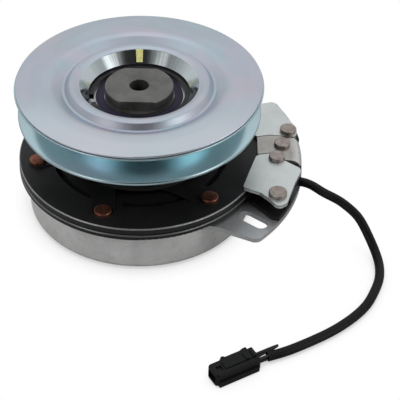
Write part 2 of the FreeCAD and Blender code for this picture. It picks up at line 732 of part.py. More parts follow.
# ---------------------------------------------------------------- rotor and hub
HUB_FLANGE_LOW = 20.0
HUB_HOLE_RAD = 6.6                  # bolt hole above the bore shoulder
hub_shoulder = dim.fbrg_low + dim.fbrg_wide

hub = revolve("rotor_hub", "hub_rev", [
    (dim.bore_rad, dim.bore_low), (dim.hub_rad, dim.bore_low),
    (dim.hub_rad, hub_shoulder), (dim.brg_in, hub_shoulder),
    (dim.brg_in, HUB_FLANGE_LOW), (dim.hub_flange, HUB_FLANGE_LOW),
    (dim.hub_flange, dim.rotor_low), (dim.hub_mid, dim.rotor_low),
    (dim.hub_mid, dim.pbrg_low), (dim.hub_rad, dim.pbrg_low),
    (dim.hub_rad, dim.hub_top), (HUB_HOLE_RAD, dim.hub_top),
    (HUB_HOLE_RAD, dim.bore_top), (dim.bore_rad, dim.bore_top)])
chamfer(hub, "hub_chamfer", 0.6, rims((dim.hub_rad, dim.bore_low), (dim.hub_rad, dim.hub_top)))
sketch = new_sketch(hub, "keyway_sketch", dim.bore_low)
key_half = dim.key_wide * 0.5
polygon(sketch, rectangle(-key_half, 0, key_half, dim.key_deep))
pocket(hub, "keyway", sketch, dim.bore_top - dim.bore_low, forward=True)

LINING_DEPTH = 1.5                  # recess for the friction ring
LINING_DROP = 0.05                  # friction ring face below the pole face
ROTOR_SLOT = (47.0, 50.5, 5.0, 43.0)    # near, far radius, start, end angle
lining_low = dim.rotor_top - LINING_DEPTH
rotor = revolve("rotor_disc", "rotor_rev", [
    (dim.hub_mid, dim.rotor_low), (dim.rotor_rad, dim.rotor_low),
    (dim.rotor_rad, dim.rotor_top), (dim.lining_far, dim.rotor_top),
    (dim.lining_far, lining_low), (dim.lining_near, lining_low),
    (dim.lining_near, dim.rotor_top), (dim.hub_mid, dim.rotor_top)])
fillet(rotor, "rotor_edge", 0.8,
       rims((dim.rotor_rad, dim.rotor_top), (dim.rotor_rad, dim.rotor_low)))
sketch = new_sketch(rotor, "rotor_slot_sketch", dim.rotor_top)
curved_slot(sketch, *ROTOR_SLOT)
pocket_ring(rotor, "rotor_slot", sketch, dim.rotor_top - dim.rotor_low)
ring("friction_ring", dim.lining_near, dim.lining_far, lining_low,
     dim.rotor_top - LINING_DROP)

# collar: two flats for a wrench, flange on the bearing's inner ring, spigot inside it
COLLAR_FLANGE = 21.3
COLLAR_TURN = -2.5
spigot_low = dim.hub_top + 0.1
collar = revolve("collar", "collar_rev", [
    (dim.bolt_rad, spigot_low), (dim.hub_rad, spigot_low), (dim.hub_rad, dim.collar_low),
    (COLLAR_FLANGE, dim.collar_low), (COLLAR_FLANGE, dim.collar_step),
    (dim.collar_rad, dim.collar_step), (dim.collar_rad, dim.collar_top),
    (dim.bolt_rad, dim.collar_top)])
chamfer(collar, "collar_hole_chamfer", 0.35, rims((dim.bolt_rad, dim.collar_top)))
chamfer(collar, "collar_edge_chamfer", 0.5, rims((dim.collar_rad, dim.collar_top)))
sketch = new_sketch(collar, "collar_flat_sketch", dim.collar_top)
for side in (1.0, -1.0):
    polygon(sketch, rectangle(-30.0, dim.collar_flat * side, 30.0, 40.0 * side))
pocket(collar, "collar_flats", sketch, dim.collar_top - dim.collar_step)
collar.Placement = FreeCAD.Placement(ORIGIN, FreeCAD.Rotation(Z_AXIS, COLLAR_TURN))

# ---------------------------------------------------------------- pulley
top = dim.pulley_top
rim_low = top - dim.rim_thick
shoulder = (54.0, top)
crowns = [(42.8, top - 0.4), (36.8, top - 1.0)]
valleys = [(47.2, top - 3.9), (45.7, top - 3.9)]
cover = revolve("pulley_cover", "cover_rev", [
    (dim.cover_rad, rim_low), (dim.cover_rad, top), shoulder,
    valleys[0], valleys[1], crowns[0], (39.5, top - 0.2), crowns[1],
    (31.3, dim.tube_top), (34.2, dim.tube_top), (38.0, top - 2.8), (41.6, top - 2.3),
    (44.6, top - 5.8), (47.8, top - 5.8), (55.0, rim_low)])
fillet(cover, "cover_shoulder", 8.0, rims(shoulder))
fillet(cover, "cover_crown", 1.1, rims(*crowns))
fillet(cover, "cover_valley", 0.7, rims(*valleys))
fillet(cover, "cover_rim", 0.4, rims((dim.cover_rad, top), (dim.cover_rad, rim_low)))

root_in = dim.root_rad - dim.sheet_thick
roots = [(dim.root_rad, dim.groove_high), (dim.root_rad, dim.groove_low)]
groove_rim = [(dim.pulley_rad, rim_low - 0.25), (dim.pulley_rad, rim_low - 1.15)]
groove_lip = [(dim.flange_rad, dim.flange_high),
              (dim.flange_rad, dim.flange_high - dim.sheet_thick)]
groove = revolve("pulley_groove", "groove_rev", [
    (73.0, rim_low), (73.0, rim_low - 0.25), *groove_rim, *roots, *groove_lip,
    (root_in, dim.groove_low - 1.8), (root_in, dim.groove_high + 1.8), (68.2, rim_low)])
fillet(groove, "groove_root_fillet", 1.5, rims(*roots))
fillet(groove, "groove_rim_fillet", 0.35, rims(*groove_rim))
fillet(groove, "groove_lip_fillet", 0.9, rims(*groove_lip))
ring("pulley_web", dim.tube_rad, root_in, 77.0, 80.0)

# hub tube round the bearing, riveted to the springs through its lower flange
TUBE_LIP_RAD, TUBE_LIP_LOW = 28.5, 56.0     # lip under the bearing
TUBE_GROOVE_RAD = 32.3                      # snap ring groove
TUBE_GROOVE_LOW, TUBE_GROOVE_HIGH = 78.55, 80.4
TUBE_FLANGE_THICK = 3.0
HUB_RIVET_RAD = 2.5
hub_rivet_hole = HUB_RIVET_RAD + RIVET_GAP
flange_top = dim.tube_low + TUBE_FLANGE_THICK
skew = math.radians(dim.spring_skew)
# spring's inner rivet, for a spring whose armature rivet lies on the X axis
spring_end = Vector(dim.rivet_circle - dim.spring_long * math.cos(skew),
                    -dim.spring_long * math.sin(skew), 0)

tube_body = revolve("pulley_hub", "tube_rev", [
    (TUBE_LIP_RAD, TUBE_LIP_LOW), (TUBE_LIP_RAD, dim.pbrg_low), (dim.seat_rad, dim.pbrg_low),
    (dim.seat_rad, TUBE_GROOVE_LOW), (TUBE_GROOVE_RAD, TUBE_GROOVE_LOW),
    (TUBE_GROOVE_RAD, TUBE_GROOVE_HIGH), (dim.seat_rad, TUBE_GROOVE_HIGH),
    (dim.seat_rad, dim.tube_top), (dim.tube_rad, dim.tube_top), (dim.tube_rad, flange_top),
    (dim.tube_flange, flange_top), (dim.tube_flange, dim.tube_low),
    (dim.seat_rad, dim.tube_low), (dim.seat_rad, TUBE_LIP_LOW)])
sketch = new_sketch(tube_body, "tube_rivet_sketch", flange_top)
end_angle = math.degrees(math.atan2(spring_end.y, spring_end.x))
spot = polar(spring_end.Length, dim.rivet_first + end_angle)
circle(sketch, spot.x, spot.y, hub_rivet_hole)
pocket_ring(tube_body, "tube_rivet_hole", sketch, TUBE_FLANGE_THICK)

# ---------------------------------------------------------------- leaf springs
# Built with the armature rivet on Z and the hub rivet on +X, then laid off the radius.
STRIP_START, STRIP_END = -9.0, 40.0     # strip before its ends are rounded
RAMP_START, RAMP_END = 8.0, 20.0        # where the strip rises
END_X = 1.0                             # centre of the rounded armature end
CUT_HIGH = 12.0
spring_low, thick = dim.arm_top, dim.spring_thick
spring_up = spring_low + dim.spring_rise
half_wide = dim.spring_wide / 2.0
cut_low = spring_low - 2
strip = face(segments(
    (STRIP_START, spring_low), (RAMP_START, spring_low), (RAMP_END, spring_up),
    (STRIP_END, spring_up), (STRIP_END, spring_up + thick), (RAMP_END, spring_up + thick),
    (RAMP_START, spring_low + thick), (STRIP_START, spring_low + thick),
    (STRIP_START, spring_low))).extrude(Vector(0, 2 * half_wide, 0))
strip.translate(Vector(0, -half_wide, 0))
outline = Part.makeBox(dim.spring_long - END_X, 2 * half_wide, CUT_HIGH,
                       Vector(END_X, -half_wide, cut_low))
for x in (END_X, dim.spring_long):
    outline = outline.fuse(cylinder(half_wide, CUT_HIGH, x=x, z=cut_low))
leaf = strip.common(outline.removeSplitter())
leaf = leaf.cut(cylinder(dim.rivet_shank + RIVET_GAP, CUT_HIGH, z=cut_low))
leaf = leaf.cut(cylinder(hub_rivet_hole, CUT_HIGH, x=dim.spring_long, z=cut_low))
leaf.rotate(ORIGIN, Z_AXIS, 180.0 + dim.spring_skew)
leaf.translate(Vector(dim.rivet_circle, 0, 0))
at_stations("leaf_springs", leaf, dim.rivet_first)

hub_foot = dim.tube_low - dim.spring_thick
at_stations("hub_rivets", rivet(
    spring_end.x, spring_end.y, low=hub_foot - 1.2, foot=hub_foot, seat=flange_top,
    shank_rad=HUB_RIVET_RAD, foot_rad=3.6, head_rad=3.35, head_high=1.6), dim.rivet_first)

# ---------------------------------------------------------------- armature
FLUX_SLOT_START, FLUX_SLOT_END = 20.5, 59.5     # angles
SINK_RAD, SINK_DEPTH = 5.0, 1.6                 # round the rivet feet
armature = revolve("armature_plate", "arm_rev",
                   rectangle(dim.arm_near, dim.arm_low, dim.arm_rad, dim.arm_top))
fillet(armature, "arm_edge", 0.7, rims((dim.arm_rad, dim.arm_top)))
chamfer(armature, "arm_edge_low", 0.4,
        rims((dim.arm_rad, dim.arm_low), (dim.arm_near, dim.arm_top)))
arm_thick = dim.arm_top - dim.arm_low
sketch = new_sketch(armature, "arm_slot_sketch", dim.arm_top)
curved_slot(sketch, dim.slot_near, dim.slot_far, FLUX_SLOT_START, FLUX_SLOT_END)
pocket_ring(armature, "arm_slot", sketch, arm_thick)
spot = polar(dim.rivet_circle, dim.rivet_first)
sketch = new_sketch(armature, "arm_rivet_sketch", dim.arm_top)
circle(sketch, spot.x, spot.y, dim.rivet_shank)
pocket_ring(armature, "arm_rivet_hole", sketch, arm_thick)
sketch = new_sketch(armature, "arm_sink_sketch", dim.arm_low)
circle(sketch, spot.x, spot.y, SINK_RAD)
pocket_ring(armature, "arm_sink", sketch, SINK_DEPTH, forward=True)
at_stations("armature_rivets", rivet(
    spot.x, spot.y, low=dim.arm_low + 0.5, foot=dim.arm_low + SINK_DEPTH,
    seat=dim.arm_top + dim.spring_thick, shank_rad=dim.rivet_shank, foot_rad=4.8,
    head_rad=dim.rivet_head, head_high=2.3))

# ---------------------------------------------------------------- lead
# Centre line of the sleeve from the brake block to the plug: x, y, z.
SLEEVE = [Vector(*point) for point in [
    (92.0, -21.47, 29.5), (96.8, -22.71, 29.5), (101.6, -23.95, 29.5),
    (106.6, -26.4, 29.35), (112.3, -31.6, 28.8), (118.2, -35.8, 28.0),
    (124.2, -39.0, 26.2), (130.2, -43.0, 23.3), (134.8, -46.2, 19.8),
    (138.6, -50.2, 15.0), (141.8, -54.6, 10.0), (144.4, -60.2, 6.0),
    (146.0, -66.4, 3.6), (146.2, -74.4, 2.85), (144.2, -85.2, 2.85),
    (140.4, -94.6, 2.85), (136.0, -103.2, 2.85), (130.0, -111.2, 2.85),
    (123.2, -118.0, 2.85), (117.0, -123.2, 2.85), (111.0, -127.6, 2.85),
    (105.0, -131.4, 2.85), (99.0, -134.9, 2.85), (93.0, -138.2, 2.85),
    (87.0, -141.3, 2.85), (81.0, -143.9, 2.85), (76.4, -145.7, 2.85),
    (73.6, -146.7, 2.9)]]
# Centre line of the wire pair from the housing up through the well: x, y, z.
WELL = [Vector(*point) for point in [
    (73.0, -17.0, 18.5), (77.5, -17.3, 18.8), (81.2, -18.3, 20.6),
    (84.0, -19.4, 24.4), (85.8, -19.9, 27.6), (88.6, -20.6, 29.3)]]
PAIR_HALF = 0.96                # each wire's offset from the pair's centre line
PAIR_STEPS = 24                 # divisions of the sleeve curve for the wires
RUN_IN, RUN_OUT = 12.0, 5.4     # straight ends in the grommet and the plug
SLEEVE_STEP, WIRE_STEP = 6.5, 4.0
ENTRY_Y = 2.2                   # plug's wire entries either side of its centre
entry_z = dim.plug_high * 0.5
# Wire points behind the plug: distance from its wire end, sideways offset, z.
FAN = [(3.6, 1.15, 3.4), (0.4, ENTRY_Y, entry_z)]

plug_dir = polar(1.0, dim.plug_turn)
plug_side = Vector(-plug_dir.y, plug_dir.x, 0)
plug_tail = Vector(dim.plug_x, dim.plug_y, 0) + plug_dir * (dim.plug_long / 2.0)


def tube(points, radius, step, start=None, finish=None):
    """Round solid through evenly spaced circular sections square to a smooth curve.

    With end directions given, a straight run is added at each end and the
    sections are joined by straight walls.
    """
    straight = start is not None
    curve = Part.BSplineCurve()
    if straight:
        curve.interpolate(Points=points, InitialTangent=start, FinalTangent=finish)
    else:
        curve.interpolate(points)
    first, last = curve.FirstParameter, curve.LastParameter
    total = curve.length(first, last)
    count = int(math.ceil(total / step))
    knots = [curve.parameterAtDistance(total * i / count, first) for i in range(count + 1)]
    knots[0], knots[-1] = first, last
    stations = [(curve.value(knot), curve.tangent(knot)[0]) for knot in knots]
    if straight:
        stations.insert(0, (points[0] - start * RUN_IN, start))
        stations.append((points[-1] + finish * RUN_OUT, finish))
    seam = Vector(0, 0, 1)
    sections = []
    for centre, along in stations:
        # carry the seam along without twist
        seam = seam - along * seam.dot(along)
        seam.normalize()
        section = Part.Circle(centre, along, float(radius))
        section.XAxis = seam
        sections.append(Part.Wire([section.toShape()]))
    return Part.makeLoft(sections, True, straight)


pair_curve = Part.BSplineCurve()
pair_curve.interpolate(SLEEVE)
first, last = pair_curve.FirstParameter, pair_curve.LastParameter
core = []                       # point and level sideways direction
for i in range(1, PAIR_STEPS):
    knot = first + (last - first) * i / float(PAIR_STEPS)
    along = pair_curve.tangent(knot)[0]
    sideways = Vector(-along.y, along.x, 0)
    sideways.normalize()
    core.append((pair_curve.value(knot), sideways))
wires = []
for side in (-1, 1):
    points = [point + Vector(0, PAIR_HALF * side, 0) for point in WELL]
    points += [point + sideways * (PAIR_HALF * side) for point, sideways in core]
    # fan out to the wire entries; the wires travel against plug_dir here
    for distance, lateral, z in FAN:
        behind = plug_tail + plug_dir * distance
        points.append(Vector(behind.x, behind.y, z) - plug_side * (lateral * side))
    wires.append(tube(points, dim.wire_rad, WIRE_STEP, X_AXIS, plug_dir * -1.0))
new_shape("lead_sleeve", tube(SLEEVE, dim.sleeve_rad, SLEEVE_STEP).cut(
    tube(SLEEVE, dim.sleeve_bore, SLEEVE_STEP)))
new_shape("lead_wires", Part.makeCompound(wires))

# grommet: fills the lead hole through the wall and stands a little proud of it
GROMMET_PROUD = 1.4
grommet = cylinder_along_x(dim.lead_hole, 9.0, 63.2, dim.lead_y, dim.lead_z)
grommet = grommet.common(
    cylinder(dim.shell_rad + GROMMET_PROUD, 30).cut(cylinder(shell_in, 30)))
for side in (-1, 1):
    grommet = grommet.cut(cylinder_along_x(
        dim.wire_rad + 0.02, 14.0, 60.0, dim.lead_y + PAIR_HALF * side, dim.lead_z))
new_shape("lead_grommet", grommet)

# ---------------------------------------------------------------- plug
# Lies on z = 0; built about its own centre with the wire end towards +x, then placed.
STEP_HIGH = 3.6
RIDGE = (-6.6, -2.6, 13.4, 2.6)     # rectangles: x1, y1, x2, y2
BUMPS = [(6.6, -2.6, 8.2, 2.6), (11.2, -2.6, 13.0, 2.6)]
RIDGE_HIGH, BUMP_HIGH = 0.7, 0.8
TOP_RECESS = (-11.4, -2.4, -8.0, 1.2)
MOUTH = (-3.9, 1.6, 3.9, 7.4)       # y1, z1, y2, z2
place = FreeCAD.Placement(Vector(dim.plug_x, dim.plug_y, 0),
                          FreeCAD.Rotation(Z_AXIS, dim.plug_turn))
half_long = dim.plug_long * 0.5
half_wide = dim.plug_wide * 0.5


def long_edges(edge):
    """Accepts the plug's long straight edges, square to y."""
    return (isinstance(edge.Curve, Part.Line) and edge.Length > 20
            and abs(edge.Vertexes[0].Y - edge.Vertexes[-1].Y) < 1e-3)


plug = new_body("plug_housing")
sketch = new_sketch(plug, "plug_sketch")
polygon(sketch, rectangle(-half_long, -half_wide, half_long, half_wide))
pad(plug, "plug_pad", sketch, dim.plug_high)
fillet(plug, "plug_nose_fillet", 2.2,
       uprights((-half_long, -half_wide), (-half_long, half_wide)))
fillet(plug, "plug_edge_fillet", 1.2, long_edges)
sketch = new_sketch(plug, "plug_step_sketch")
polygon(sketch, rectangle(-12.4, -half_wide - 1.1, 13.2, -half_wide + 0.5))
pad(plug, "plug_step", sketch, STEP_HIGH)
sketch = new_sketch(plug, "plug_ridge_sketch", dim.plug_high)
polygon(sketch, rectangle(*RIDGE))
pad(plug, "plug_ridge", sketch, RIDGE_HIGH)
sketch = new_sketch(plug, "plug_bump_sketch", dim.plug_high + RIDGE_HIGH)
for bump in BUMPS:
    polygon(sketch, rectangle(*bump))
pad(plug, "plug_bumps", sketch, BUMP_HIGH)
sketch = new_sketch(plug, "plug_recess_sketch", dim.plug_high)
polygon(sketch, rectangle(*TOP_RECESS))
pocket(plug, "plug_recess", sketch, 1.1)
sketch = new_sketch(plug, "plug_mouth_sketch", -half_long, "YZ_Plane")
polygon(sketch, rectangle(*MOUTH))
pocket(plug, "plug_mouth", sketch, 15.0, forward=True)
for name, radius, depth in (("plug_rear", 1.9, 8.0), ("plug_pin", 0.85, 20.0)):
    sketch = new_sketch(plug, name + "_sketch", half_long, "YZ_Plane")
    for side in (-1, 1):
        circle(sketch, ENTRY_Y * side, entry_z, radius)
    pocket(plug, name + "_holes", sketch, depth)
plug.Placement = place

# pointed terminal pins and the seals round the wires
PIN_RAD, PIN_LONG, PIN_X = 0.8, 16.0, -8.0
POINT_RAD, POINT_LONG = 0.25, 1.4
terminals, seals = [], []
for side in (-1, 1):
    y = ENTRY_Y * side
    pin = cylinder_along_x(PIN_RAD, PIN_LONG, PIN_X, y, entry_z)
    pin = pin.fuse(Part.makeCone(POINT_RAD, PIN_RAD, POINT_LONG,
                                 Vector(PIN_X - POINT_LONG, y, entry_z), X_AXIS))
    wire_seal = cylinder_along_x(1.88, 4.0, half_long - 4.2, y, entry_z)
    wire_seal = wire_seal.cut(
        cylinder_along_x(dim.wire_rad - 0.05, 5.0, half_long - 5.0, y, entry_z))
    for shape, group in ((pin, terminals), (wire_seal, seals)):
        shape.Placement = place.multiply(shape.Placement)
        group.append(shape)
new_shape("plug_terminals", Part.makeCompound(terminals))
new_shape("plug_seals", Part.makeCompound(seals))

# latch tongue along the plug's +y face, rooted towards its -x end
LATCH_LOW, LATCH_HIGH = 2.4, 4.2    # underside and height
# x, distance out from the plug's face
LATCH = [(-6.0, 0.0), (-3.0, 0.0), (-3.0, 1.1), (9.0, 1.1), (9.0, 0.8), (12.5, 1.1),
         (12.5, 2.9), (10.5, 2.9), (8.0, 2.1), (-4.5, 2.1), (-6.0, 1.1)]
latch = new_body("plug_latch")
sketch = new_sketch(latch, "latch_sketch", LATCH_LOW)
polygon(sketch, [(x, half_wide + out) for x, out in LATCH])
pad(latch, "latch_pad", sketch, LATCH_HIGH)
sketch = new_sketch(latch, "latch_root_sketch", LATCH_LOW)
circle(sketch, -3.0, half_wide + 1.6, 1.55)
pad(latch, "latch_root", sketch, LATCH_HIGH)
latch.Placement = place

# ---------------------------------------------------------------- check and write
doc.recompute()
bad = [item.Name for item in doc.Objects if "Invalid" in item.State or "Error" in item.State]
if bad:
    raise RuntimeError("invalid objects: " + ", ".join(bad))
for name, item in pieces.items():
    if item.Shape.isNull() or not item.Shape.isValid() or item.Shape.Volume <= 0:
        raise RuntimeError("bad shape: " + name)
for name, item in pieces.items():
    item.Shape.exportStep("parts/%s.step" % name)
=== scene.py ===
"""Electromagnetic pulley clutch with its field coil, magnetic brake and plug lead.

The shaft axis is Z, with the pulley's face upward and the clutch on a floor near Z = 0.
The camera looks from -Y, so -Y is the front and +X is the right.
The pieces come from the CAD frame. This script gives them materials, replaces the
brake rivets, and adds the floor, surround, lights and camera.
"""
import math
import bpy
import bmesh
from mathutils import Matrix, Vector


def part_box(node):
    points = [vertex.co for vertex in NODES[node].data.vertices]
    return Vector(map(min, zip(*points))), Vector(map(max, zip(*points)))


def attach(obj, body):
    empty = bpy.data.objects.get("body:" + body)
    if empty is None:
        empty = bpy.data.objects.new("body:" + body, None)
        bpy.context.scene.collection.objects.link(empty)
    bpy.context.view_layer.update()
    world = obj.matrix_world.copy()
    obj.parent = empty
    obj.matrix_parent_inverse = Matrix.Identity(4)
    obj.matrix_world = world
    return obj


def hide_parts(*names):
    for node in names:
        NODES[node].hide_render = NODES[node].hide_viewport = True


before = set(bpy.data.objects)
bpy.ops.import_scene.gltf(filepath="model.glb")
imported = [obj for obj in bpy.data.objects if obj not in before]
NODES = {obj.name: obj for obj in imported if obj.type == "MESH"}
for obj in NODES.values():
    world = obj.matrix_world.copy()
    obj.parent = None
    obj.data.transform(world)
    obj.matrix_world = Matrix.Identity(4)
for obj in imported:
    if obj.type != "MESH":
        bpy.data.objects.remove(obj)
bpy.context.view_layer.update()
MM = 0.001

MIDDLE = (0.3, 0.7)     # where most values of a noise lie


# ------------------------------------------------------------------ colour helpers
def rgba(colour):
    """Four channels from a grey level or three channels."""
    if isinstance(colour, (int, float)):
        return (colour, colour, colour, 1)
    return (*colour[:3], 1)


def scaled(colour, factor):
    return [min(1.0, value * factor) for value in colour]


def lifted(colour, factor):
    """A little lighter, even where the colour is almost black."""
    return [value * factor + 0.001 for value in colour]


# ------------------------------------------------------------------ node helpers
class Shader:
    """Builds the nodes that feed one shader node of a tree."""

    def __init__(self, tree, target, coordinates):
        self.tree = tree
        self.target = tree.nodes[target]
        self.coords = self.node("TexCoord").outputs[coordinates]

    def feed(self, socket, value):
        """Link an output to an input socket, or set a number or colour on it."""
        if isinstance(value, bpy.types.NodeSocket):
            self.tree.links.new(value, socket)
        elif socket.type == "RGBA":
            socket.default_value = rgba(value)
        else:
            socket.default_value = value

    def node(self, kind, inputs=None, **settings):
        node = self.tree.nodes.new("ShaderNode" + kind)
        for key, value in settings.items():
            setattr(node, key, value)
        for key, value in (inputs or {}).items():
            self.feed(node.inputs[key], value)
        return node

    def put(self, key, value):
        self.feed(self.target.inputs[key], value)

    # arithmetic
    def math(self, operation, *values, clamp=False):
        inputs = dict(enumerate(values))
        return self.node("Math", inputs, operation=operation, use_clamp=clamp).outputs[0]

    def add(self, first, second):
        return self.math("ADD", first, second)

    def sub(self, first, second):
        return self.math("SUBTRACT", first, second)

    def mul(self, first, second, clamp=False):
        return self.math("MULTIPLY", first, second, clamp=clamp)

    def away(self, value, centre):
        """Distance of a value from a centre."""
        return self.math("ABSOLUTE", self.sub(value, centre))

    def weigh(self, first, second, weight):
        """Weighted sum; weight is the share of the first."""
        return self.add(self.mul(first, weight), self.mul(second, 1 - weight))

    def span(self, value, over=MIDDLE, to=(0.0, 1.0)):
        """Map the range `over` onto the range `to`, clamped."""
        return self.node("MapRange", dict(enumerate((value, *over, *to)))).outputs[0]

    # coordinates
    def xyz(self):
        return tuple(self.node("SeparateXYZ", {0: self.coords}).outputs)

    def radius(self, x, y):
        return self.math("SQRT", self.add(self.mul(x, x), self.mul(y, y)))

    def polar(self):
        """Radius in metres and angle in radians about Z, and height."""
        x, y, z = self.xyz()
        return self.radius(x, y), self.math("ARCTAN2", y, x), z

    # textures
    def noise(self, scale, detail=3.0, rough=0.55, distortion=0.0, source=None):
        return self.node("TexNoise", {
            "Scale": scale, "Detail": detail, "Roughness": rough, "Distortion": distortion,
            "Vector": source or self.coords}).outputs["Fac"]

    def stretched(self, *axes, detail, rough):
        """Noise over (value, scale) pairs, one for each axis."""
        vector = {i: self.mul(value, scale) for i, (value, scale) in enumerate(axes)}
        source = self.node("CombineXYZ", vector).outputs[0]
        return self.noise(scale=1.0, detail=detail, rough=rough, source=source)

    def jitter(self, noise, size):
        """Noise centred on zero and scaled."""
        return self.mul(self.sub(noise, 0.5), size)

    def voronoi(self, scale):
        inputs = {"Scale": scale, "Vector": self.coords}
        return self.node("TexVoronoi", inputs).outputs["Distance"]

    # colour
    def ramp(self, factor, stops, interpolation="LINEAR"):
        """Colour ramp; each stop is (position, colour)."""
        node = self.node("ValToRGB", {0: factor})
        node.color_ramp.interpolation = interpolation
        elements = node.color_ramp.elements
        while len(elements) > 1:
            elements.remove(elements[-1])
        elements[0].position = stops[0][0]
        elements[0].color = rgba(stops[0][1])
        for position, colour in stops[1:]:
            elements.new(position).color = rgba(colour)
        return node.outputs[0]

    def two_tone(self, noise, dark, light):
        return self.ramp(noise, tuple(zip(MIDDLE, (dark, light))))

    def mix(self, factor, first, second):
        # 6 and 7 are the colour inputs, and output 2 the colour
        inputs = {0: factor, 6: first, 7: second}
        return self.node("Mix", inputs, data_type="RGBA").outputs[2]


class Surface(Shader):
    """A Principled material in object space."""

    def __init__(self, name, base, metallic, rough, spec=0.5):
        self.material = bpy.data.materials.new(name)
        self.material.use_nodes = True
        self.material.diffuse_color = rgba(base)
        super().__init__(self.material.node_tree, "Principled BSDF", "Object")
        self.put("Base Color", base)
        self.put("Metallic", metallic)
        self.put("Roughness", rough)
        self.put("Specular IOR Level", spec)

    def bump(self, height, strength, distance, under=None):
        inputs = {"Strength": strength, "Distance": distance, "Height": height}
        if under is not None:
            inputs["Normal"] = under
        return self.node("Bump", inputs).outputs[0]

    def radial_brush(self, amount):
        """Stretch highlights as turning marks about Z do."""
        self.put("Anisotropic", amount)
        self.put("Tangent", self.node("Tangent", direction_type="RADIAL", axis="Z").outputs[0])

    def worn(self, base, light, amount, radius=0.0006):
        """Lighter along edges, where a bevelled normal departs from the true one."""
        bevel = self.node("Bevel", {"Radius": radius}, samples=4)
        geometry = self.node("NewGeometry")
        inputs = {0: bevel.outputs[0], 1: geometry.outputs["Normal"]}
        dot = self.node("VectorMath", inputs, operation="DOT_PRODUCT")
        edge = self.span(dot.outputs["Value"], over=(0.985, 0.90))
        noise = self.noise(scale=900, detail=4, rough=0.7)
        patchy = self.mul(edge, self.span(noise, over=(0.35, 0.65), to=(0.1, 1.0)), clamp=True)
        return self.mix(self.mul(patchy, amount), base, light)


# ------------------------------------------------------------------ zinc of the pulley
COVER_HUES = (
    (0.28, (0.56, 0.64, 0.69)), (0.45, (0.59, 0.64, 0.72)),
    (0.58, (0.64, 0.66, 0.75)), (0.72, (0.56, 0.66, 0.74)))
GROOVE_HUES = ((0.28, (0.54, 0.75, 0.79)), (0.50, (0.57, 0.76, 0.81)), (0.72, (0.62, 0.73, 0.80)))
BORE_EDGE = (0.0372, 0.0366)    # radii over which the cover's finish turns to the bore's, m


def cover_play(mat, radius, angle, tint):
    """Pink and cyan patches over the cover, and a painted highlight: a paler rim on the front
    side, towards the camera.
    """
    warm = mat.stretched((mat.math("SINE", angle), 1.6), (mat.math("COSINE", angle), 1.6),
                         (radius, 46.0), detail=2, rough=0.5)
    tint = mat.mix(mat.span(warm, over=(0.50, 0.66), to=(0.0, 0.55)), tint, (0.74, 0.66, 0.74))
    tint = mat.mix(mat.span(warm, over=(0.46, 0.30), to=(0.0, 0.55)), tint, (0.58, 0.74, 0.80))
    # Painted highlight: the outer band on the front side, towards the camera, is mixed towards a
    # pale blue-white.
    toward_camera = mat.mul(mat.math("SINE", angle), -1.0)
    front = mat.span(toward_camera, over=(0.15, 0.75), to=(0.0, 0.55))
    rim = mat.span(radius, over=(0.052, 0.064))
    return mat.mix(mat.mul(front, rim, clamp=True), tint, (0.86, 0.92, 0.97))


def cover_bore(mat, radius, angle, tint, rough):
    """Smoother streaked metal inside the bore, with painted reflections: darker at front and
    back, pale blue on its left and right walls.
    """
    inside = mat.span(radius, over=BORE_EDGE)
    streak = mat.stretched((angle, 26.0), (radius, 60.0), detail=3, rough=0.6)
    # Painted reflection: the streaks are dark grey where the bore faces front and back, and pale
    # blue on the left and right walls.
    painted_dark_streaks = mat.ramp(streak, ((0.32, (0.34, 0.37, 0.37)), (0.68, (0.60, 0.63, 0.63))))
    sideness = mat.math("ABSOLUTE", mat.math("COSINE", angle))
    painted_side_light = mat.span(sideness, over=(0.45, 0.90))
    side_reflection_tint = mat.mix(streak, (0.66, 0.76, 0.80), (0.80, 0.87, 0.90))
    tint = mat.mix(inside, tint, mat.mix(painted_side_light, painted_dark_streaks, side_reflection_tint))
    mixed = mat.mix(inside, rough, 0.13)
    return tint, mat.node("SeparateColor", {0: mixed}).outputs[0]


def paint_mark(mat, radius, angle, tint, rough):
    """A dab of yellow marking paint on the back wall of the bore."""
    centre_angle = 1.584
    centre_radius = 0.03425
    ragged = mat.jitter(mat.noise(scale=900, detail=2, rough=0.6), size=0.010)
    ragged_angle = mat.add(angle, mat.mul(ragged, 1.5))
    across = mat.span(mat.away(ragged_angle, centre_angle), over=(0.064, 0.060))
    ragged_radius = mat.add(radius, mat.mul(ragged, 0.02))
    along = mat.span(mat.away(ragged_radius, centre_radius), over=(0.00262, 0.00250))
    paint = mat.mul(across, along, clamp=True)
    yellow = mat.mix(mat.span(mat.noise(scale=700, detail=3, rough=0.6)),
                     (0.50, 0.47, 0.16), (0.66, 0.64, 0.28))
    mat.put("Metallic", mat.sub(1.0, paint))
    return mat.mix(paint, tint, yellow), mat.math("MAXIMUM", rough, mat.mul(paint, 0.42))


